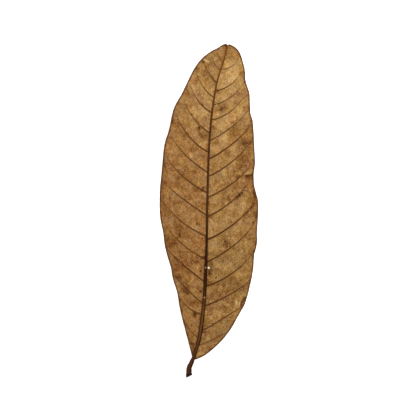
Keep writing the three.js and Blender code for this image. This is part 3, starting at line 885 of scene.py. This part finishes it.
def ribbed_side_material(looks):
    """The pale, ribbed underside of the blade, which faces up."""
    nodes = Nodes("leaf_ribbed_side")
    place = nodes.place()
    outwards, along = CROSS_VEIN_STRETCH
    lane_place = nodes.vector(nodes.attribute("reach") * outwards, nodes.attribute("lane") * along)
    cloudy = nodes.noise(place, CLOUD_SIZE, 3.0)
    mottled = nodes.noise(place, MOTTLE_SIZE, 3.0, 0.6)
    grain = nodes.noise(place, GRAIN_SIZE, 3.0, 0.75)
    bent = nodes.vector_math("ADD", lane_place, nodes.vector(cloudy * 1.2, mottled * 1.2))
    cross = nodes.ease(nodes.cells(bent, 1.0), 0.07, 0.0)
    net = nodes.ease(nodes.cells(place, NET_SIZE), 0.16, 0.02)
    rib = nodes.attribute("rib")
    lightness = (
        nodes.attribute("light")
        + cloudy * 0.66
        + mottled * 0.62
        + grain * 1.25
        - cross * 0.06
        - net * 0.04
        + looks.lightness
    )
    redness = nodes.attribute("red") + nodes.noise(place, REDNESS_SIZE, 4.0, 0.65) * 1.1
    blade = nodes.mix(redness, nodes.ramp(lightness, OLIVE_BROWNS), nodes.ramp(lightness, RED_BROWNS))
    # A greyish bloom lies in patches on all but the darkest places.
    patches = nodes.ease(nodes.noise(place, BLOOM_SIZE, 5.0, 0.8), -0.15, 0.2)
    bloom = patches * nodes.ease(lightness, 0.2, 0.5)
    blade = nodes.mix(bloom * 0.28, blade, tint(140, 120, 106))
    rim = nodes.ease(nodes.attribute("to_margin") + mottled * 0.6, RIM_WIDTH, 0.2)
    blade = nodes.mix(rim * 0.95, blade, tuple(looks.rim_colour))
    blade = nodes.mix(rib**0.7 * (1.1 + cloudy * 0.8 + mottled), blade, tuple(looks.rib_colour))
    wobble = grain * 0.5
    blade = nodes.mix(nodes.specks(place, DARK_SPECKS, wobble) * 0.85, blade, tint(58, 28, 9))
    blade = nodes.mix(nodes.specks(place, PALE_SPECKS, wobble) * 0.7, blade, tint(214, 180, 136))
    blade = nodes.mix(nodes.specks(place, WHITE_SPECKS, wobble * 0.3), blade, tint(232, 226, 214))
    nodes.set(nodes.surface, "Base Color", blade)
    nodes.set(nodes.surface, "Roughness", 0.66 - rib * 0.12 + mottled * 0.2)
    relief = 0.5 + grain * 0.5 + mottled * 0.5 + cross * 0.5 + net * 0.25
    nodes.set(nodes.surface, "Normal", nodes.bump(relief, looks.bump))
    nodes.surface.inputs["Specular IOR Level"].default_value = 0.08
    return nodes.material


def smooth_side_material(looks):
    """The darker upper side of the blade, which lies on the table, smoother and with a dull gloss."""
    nodes = Nodes("leaf_smooth_side")
    place = nodes.place()
    cloudy = nodes.noise(place, 5.0, 3.0)
    mottled = nodes.noise(place, 1.6, 3.0, 0.6)
    net = nodes.ease(nodes.cells(place, NET_SIZE), 0.14, 0.0)
    lightness = nodes.attribute("light") * 0.7 + cloudy * 0.5 + mottled * 0.4 - 0.06
    blade = nodes.mix(0.8 + mottled, nodes.ramp(lightness, OLIVE_BROWNS), nodes.ramp(lightness, RED_BROWNS))
    blade = nodes.mix(nodes.attribute("rib") * 0.5, blade, tint(150, 104, 60))
    rim = nodes.ease(nodes.attribute("to_margin"), 0.7, 0.0)
    blade = nodes.mix(rim * 0.6, blade, tuple(looks.rim_colour))
    nodes.set(nodes.surface, "Base Color", blade)
    nodes.set(nodes.surface, "Roughness", 0.42 + mottled * 0.3)
    nodes.set(nodes.surface, "Normal", nodes.bump(0.5 + mottled * 0.6 - net * 0.4, looks.bump))
    return nodes.material


# Where each colour of the midrib fades in: y in mm at which it begins to show, and y at which it is full.
DARK_STRETCH_START, DARK_STRETCH_END = (24.0, 36.0), (68.0, 54.0)
BASE_COLOUR, BASE_CREST = (29.0, 18.0), (-2.0, 14.0)
# Painted shade darkens the midrib's right flank from here on, as if the light came from the left.
RIGHT_FLANK_PAINTED_SHADE = (52.0, 34.0)
TIP_COLOUR = (100.0, 138.0)
STALK_COLOUR, STALK_END_COLOUR = (1.0, -2.0), (-6.3, -7.3)
# The same for how far a place looks up, from -1 on the underside to 1 on top, and how far to the right.
CREST, BESIDE_CREST, UNDERSIDE = (0.84, 0.97), (0.9, 0.5), (-0.2, -0.6)
# Both mark the painted shade on the right flank of the midrib and of the stalk.
MIDRIB_SHADED_RIGHT, STALK_SHADED_RIGHT = (0.2, 0.7), (0.15, 0.6)


def midrib_material(looks):
    """Streaky midrib and stalk: darkest halfway up, with a reddish crest near the base, a dark break, and
    painted shade along the right flank of both.
    """
    nodes = Nodes("midrib_and_stalk")
    place = nodes.place()
    along, top, side = nodes.attribute("along"), nodes.attribute("top"), nodes.attribute("side")
    streaks = nodes.noise(nodes.vector(nodes.attribute("around") * 9.0, along * 0.35), 1.0, 3.0)
    blotches = nodes.noise(place, 3.5, 2.0)
    grain = nodes.noise(place, 0.4, 2.0)
    bark = nodes.mix(0.5 + streaks * 1.6 + blotches * 1.4, tint(54, 31, 12), tuple(looks.midrib_colour))
    halfway = nodes.ease(along, *DARK_STRETCH_START) * nodes.ease(along, *DARK_STRETCH_END)
    bark = nodes.mix(halfway * (0.8 + blotches), bark, tint(40, 14, 3))
    near_base = nodes.ease(along, *BASE_COLOUR)
    crest = nodes.ease(top, *CREST) * nodes.ease(along, *BASE_CREST)
    bark = nodes.mix(near_base * crest * 0.85, bark, tint(110, 65, 31))
    bark = nodes.mix(near_base * nodes.ease(top, *BESIDE_CREST) * 0.8, bark, tint(42, 18, 4))
    # Painted shade: the midrib's right flank is darkened as if the light came from the left.
    right_flank_shade = nodes.ease(along, *RIGHT_FLANK_PAINTED_SHADE) * nodes.ease(side, *MIDRIB_SHADED_RIGHT)
    bark = nodes.mix(right_flank_shade * 0.9, bark, tint(29, 10, 1))
    bark = nodes.mix(nodes.ease(along, *TIP_COLOUR) * 0.75, bark, tint(118, 71, 20))
    bark = nodes.mix(nodes.ease(top, *UNDERSIDE) * 0.7, bark, tint(126, 84, 44))
    stalk = nodes.mix(0.4 + streaks * 2.0, tint(58, 29, 12), tuple(looks.stalk_colour))
    # Painted shade: the stalk's right flank is darkened as if the light came from the left.
    stalk = nodes.mix(nodes.ease(side, *STALK_SHADED_RIGHT) * 0.95, stalk, tint(26, 9, 2))
    bark = nodes.mix(nodes.ease(along, *STALK_COLOUR), bark, stalk)
    bark = nodes.mix(nodes.ease(along + blotches * 2.0, *STALK_END_COLOUR) * 0.85, bark, tint(34, 20, 13))
    bark = nodes.mix(nodes.attribute("broken"), bark, tint(26, 17, 12))
    specks = nodes.specks(place, MIDRIB_SPECKS, grain * 0.4) * nodes.ease(top, 0.0, 0.3)
    bark = nodes.mix(specks * 0.8, bark, tint(176, 132, 86))
    nodes.set(nodes.surface, "Base Color", bark)
    nodes.set(nodes.surface, "Roughness", 0.55 + streaks * 0.3)
    nodes.set(nodes.surface, "Normal", nodes.bump(0.5 + streaks + grain * 0.4, looks.bump * 1.3))
    nodes.surface.inputs["Specular IOR Level"].default_value = 0.05
    return nodes.material


def table_material(glow):
    """Plain white table that glows a little, so that it shows white right up to the leaf."""
    nodes = Nodes("table_white")
    nodes.surface.inputs["Base Color"].default_value = (0.92, 0.92, 0.92, 1)
    nodes.surface.inputs["Roughness"].default_value = 0.9
    nodes.surface.inputs["Emission Color"].default_value = (1, 1, 1, 1)
    nodes.surface.inputs["Emission Strength"].default_value = glow
    return nodes.material


class LeafSizes(bpy.types.PropertyGroup):
    blade: FloatProperty(
        name="Blade thickness", description="Thickness of the blade", unit="LENGTH", default=0.3 * MM
    )
    rib: FloatProperty(
        name="Rib height", description="Height of a side rib on the blade", unit="LENGTH", default=0.32 * MM
    )
    ripple: FloatProperty(
        name="Ripple", description="Height of the uneven ripples", unit="LENGTH", default=0.28 * MM
    )


class LeafLooks(bpy.types.PropertyGroup):
    lightness: FloatProperty(
        name="Lightness",
        description="Makes the blade paler or darker",
        subtype="FACTOR",
        min=-1,
        max=1,
        default=0,
    )
    bump: FloatProperty(
        name="Relief", description="Depth of the finest relief", unit="LENGTH", default=0.12 * MM
    )
    rib_colour: FloatVectorProperty(
        name="Ribs", description="Colour of the side ribs", subtype="COLOR", default=tint(72, 34, 3)
    )
    rim_colour: FloatVectorProperty(
        name="Rim", description="Colour of the margin", subtype="COLOR", default=tint(86, 48, 13)
    )
    midrib_colour: FloatVectorProperty(
        name="Midrib", description="Colour of the midrib", subtype="COLOR", default=tint(84, 49, 20)
    )
    stalk_colour: FloatVectorProperty(
        name="Stalk", description="Colour of the stalk", subtype="COLOR", default=tint(88, 46, 18)
    )


class LEAF_OT_blade(bpy.types.Operator):
    """Makes the blade: a thin closed sheet with raised ribs above and grooves below."""

    bl_idname = "leaf.blade"
    bl_label = "Blade"

    # Added to the left half's lanes, so that its cross veins differ from the right half's.
    LEFT_LANES = 40

    def execute(self, context):
        sizes, looks = context.scene.leaf_sizes, context.scene.leaf_looks
        roots, shares = row_roots(), column_shares()
        left = half_fields(LEFT, roots, shares, sizes)
        left["lane"] = left["lane"] + self.LEFT_LANES
        right = half_fields(RIGHT, roots, shares, sizes)
        fields = {key: joined(left[key], right[key]) for key in left}
        blade = new_grid("blade", len(roots), 2 * len(shares) - 1)
        set_places(blade.data, fields["x"], fields["y"], fields["floor"] + fields["rise"])
        for name in ("rib", "reach", "to_margin", "lane", "light", "red", "floor"):
            paint(blade.data, name, fields[name])
        self.give_thickness(blade, sizes)
        blade.data.materials.append(ribbed_side_material(looks))
        blade.data.materials.append(smooth_side_material(looks))
        bpy.ops.object.shade_smooth()
        stands_for_leaf(blade)
        return {"FINISHED"}

    def give_thickness(self, blade, sizes):
        """Extrudes the sheet downwards, and lays the new face on the height that was stored for it."""
        down = {"value": (0, 0, -sizes.blade)}
        edit(bpy.ops.mesh.extrude_region_move, TRANSFORM_OT_translate=down)
        moved = np.empty(len(blade.data.vertices), bool)
        blade.data.vertices.foreach_get("select", moved)
        places = np.empty(3 * len(moved), np.float32)
        blade.data.vertices.foreach_get("co", places)
        places = places.reshape(-1, 3)
        places[moved, 2] = painted(blade.data, "floor")[moved] * MM
        blade.data.vertices.foreach_set("co", places.ravel())
        below = np.empty(len(blade.data.polygons), bool)
        blade.data.polygons.foreach_get("select", below)
        blade.data.polygons.foreach_set("material_index", below.astype(np.int32))
        blade.data.attributes.remove(blade.data.attributes["floor"])
        edit(bpy.ops.mesh.normals_make_consistent, inside=False)


class LEAF_OT_midrib(bpy.types.Operator):
    """Makes the midrib and the stalk as one tapering rod with a ragged break at its end."""

    bl_idname = "leaf.midrib"
    bl_label = "Midrib and stalk"

    SIDES = 28
    # Distance between two rings of the rod.
    STEP = 0.5
    # Rings that close the break, from its middle outwards: share of the radius, depth inside the stalk.
    BREAK_RINGS = [(0.0, 0.5), (0.3, 0.55), (0.6, 0.45), (0.8, 0.3), (0.9, 0.02), (0.97, 0.0)]
    # Rings that close the tip: share of the radius, way past the end.
    TIP_RINGS = [(0.5, 0.15), (0.0, 0.2)]
    # The rod's sides meet along its lowest line.
    SEAM = -np.pi / 2
    # Points nearer to each other than this become one, which closes the seam and both ends.
    MERGE_DISTANCE = 0.004
    # No point of the rod lies lower than this over the table.
    LEAST_HEIGHT = 0.05

    def execute(self, context):
        looks = context.scene.leaf_looks
        start, end = MIDRIB[0][0], MIDRIB[-1][0]
        rings = [(start + depth, share) for share, depth in self.BREAK_RINGS]
        rings += [(y, 1) for y in np.linspace(start, end, int((end - start) / self.STEP) + 1)]
        rings += [(end + past, share) for share, past in self.TIP_RINGS]
        along, shrink = np.array(rings).T
        broken = np.arange(len(rings)) < len(self.BREAK_RINGS)
        turn = self.SEAM + np.linspace(0, 2 * np.pi, self.SIDES + 1)
        y, angle = np.meshgrid(along, turn, indexing="ij")
        rod = new_grid("midrib", len(along), len(turn))
        set_places(rod.data, *self.surface(y, angle, shrink[:, None]))
        paint(rod.data, "along", y)
        paint(rod.data, "top", np.sin(angle))
        paint(rod.data, "side", np.cos(angle))
        paint(rod.data, "around", angle / (2 * np.pi))
        paint(rod.data, "broken", np.broadcast_to(broken[:, None], y.shape))
        edit(bpy.ops.mesh.remove_doubles, threshold=self.MERGE_DISTANCE * MM)
        edit(bpy.ops.mesh.normals_make_consistent, inside=False)
        rod.data.materials.append(midrib_material(looks))
        bpy.ops.object.shade_smooth()
        stands_for_leaf(rod)
        return {"FINISHED"}

    def surface(self, y, angle, shrink):
        """Places on the rod: grooved near the base, wrinkled on the stalk and slanted at the break."""
        rise = np.where(y > 0, MIDRIB_RISE * smooth(MIDRIB, 3, y), 0)
        ahead, behind = y + self.STEP, y - self.STEP
        lean_x = (smooth(MIDRIB, 1, ahead) - smooth(MIDRIB, 1, behind)) / (ahead - behind)
        length = np.hypot(lean_x, 1)
        across_x, across_y = 1 / length, -lean_x / length
        stalk = 1 / (1 + np.exp((y - STALK_TOP) * STALK_BLEND))
        groove = GROOVE_DEPTH * bell(np.sin(angle) - 1, GROOVE_WIDTH) * np.clip(1 - y / GROOVE_END, 0, 1)
        swell = stalk * waves(STALK_WAVES, angle, y) + (1 - stalk) * (waves(MIDRIB_WAVES, angle, y) - groove)
        radius = smooth(MIDRIB, 3, y) * (1 + swell) * shrink
        ridge = (rise + SOLID_THICKNESS / 2 + SMOOTH_SIDE_RIDGE * (1 + radius)) * shrink
        below = stalk * radius + (1 - stalk) * ridge
        sideways, upwards = radius * np.cos(angle), np.where(angle > 0, radius, below) * np.sin(angle)
        x = smooth(MIDRIB, 1, y) + sideways * across_x
        slant = STALK_CUT_SLANT * bell(y - MIDRIB[0][0], CUT_REACH) * sideways
        height = smooth(MIDRIB, 2, y) + rise + upwards
        return x, y + sideways * across_y + slant, np.maximum(height, self.LEAST_HEIGHT)


class LEAF_OT_stage(bpy.types.Operator):
    """Makes the white table, the soft light and the camera, which looks straight down."""

    bl_idname = "leaf.stage"
    bl_label = "Table, light and camera"

    TABLE_SIZE = 6000
    TABLE_GLOW = 0.7
    # How far the table lies below the leaf, so that no two faces fall together.
    TABLE_DROP = 0.02
    DOME_STRENGTH = 0.72
    LAMP_PLACE = (350, 450, 600)
    LAMP_POWER = 5.0
    LAMP_SIZE = 500
    # Focal length and width of the camera's sensor.
    LENS = 300.0
    SENSOR = 36.0
    # The view shows the picture's width at this height.
    VIEW_WIDTH = PICTURE_WIDTH * PIXEL
    AIM_HEIGHT = 2.0
    # The middle of the view, counted from the blade's base.
    AIM = (6.525, 67.5)
    NEAREST_SEEN = 10.0

    def execute(self, context):
        self.add_table()
        self.light_dome(context.scene)
        self.add_lamp()
        self.add_camera(context.scene)
        context.scene.view_settings.view_transform = "Standard"
        return {"FINISHED"}

    def add_table(self):
        bpy.ops.object.select_all(action="DESELECT")
        below = (0, 0, -self.TABLE_DROP * MM)
        bpy.ops.mesh.primitive_plane_add(size=self.TABLE_SIZE * MM, location=below)
        table = bpy.context.object
        table.name = "table"
        table.data.materials.append(table_material(self.TABLE_GLOW))

    def light_dome(self, scene):
        scene.world = bpy.data.worlds.new("soft_white")
        scene.world.use_nodes = True
        background = scene.world.node_tree.nodes["Background"]
        background.inputs["Color"].default_value = (1, 1, 1, 1)
        background.inputs["Strength"].default_value = self.DOME_STRENGTH

    def add_lamp(self):
        bpy.ops.object.light_add(type="AREA", location=Vector(self.LAMP_PLACE) * MM)
        lamp = bpy.context.object
        lamp.name = "window_light"
        lamp.data.energy = self.LAMP_POWER
        lamp.data.size = self.LAMP_SIZE * MM
        lamp.rotation_euler = (-lamp.location).to_track_quat("-Z", "Y").to_euler()

    def add_camera(self, scene):
        distance = self.VIEW_WIDTH * self.LENS / self.SENSOR
        eye = Vector((BASE_X + self.AIM[0], BASE_Y + self.AIM[1], distance + self.AIM_HEIGHT))
        bpy.ops.object.camera_add(location=eye * MM, rotation=(0, 0, 0))
        camera = bpy.context.object
        camera.name = "camera"
        camera.data.lens = self.LENS
        camera.data.sensor_width = self.SENSOR
        camera.data.clip_start = self.NEAREST_SEEN * MM
        scene.camera = camera


class LEAF_PT_panel(bpy.types.Panel):
    """Lists the leaf's sizes, looks and making steps."""

    bl_idname = "LEAF_PT_panel"
    bl_label = "Dried Longan Leaf"
    bl_space_type = "VIEW_3D"
    bl_region_type = "UI"
    bl_category = "Leaf"

    def draw(self, context):
        for group in (context.scene.leaf_sizes, context.scene.leaf_looks):
            for key in group.__annotations__:
                self.layout.prop(group, key)
        for operator in (LEAF_OT_blade, LEAF_OT_midrib, LEAF_OT_stage):
            self.layout.operator(operator.bl_idname)


CLASSES = (LeafSizes, LeafLooks, LEAF_OT_blade, LEAF_OT_midrib, LEAF_OT_stage, LEAF_PT_panel)


def register():
    for each in CLASSES:
        bpy.utils.register_class(each)
    bpy.types.Scene.leaf_sizes = PointerProperty(type=LeafSizes)
    bpy.types.Scene.leaf_looks = PointerProperty(type=LeafLooks)


def unregister():
    del bpy.types.Scene.leaf_looks
    del bpy.types.Scene.leaf_sizes
    for each in reversed(CLASSES):
        bpy.utils.unregister_class(each)


def main():
    register()
    bpy.ops.leaf.stage()
    bpy.ops.leaf.blade()
    bpy.ops.leaf.midrib()


if __name__ == "__main__":
    main()
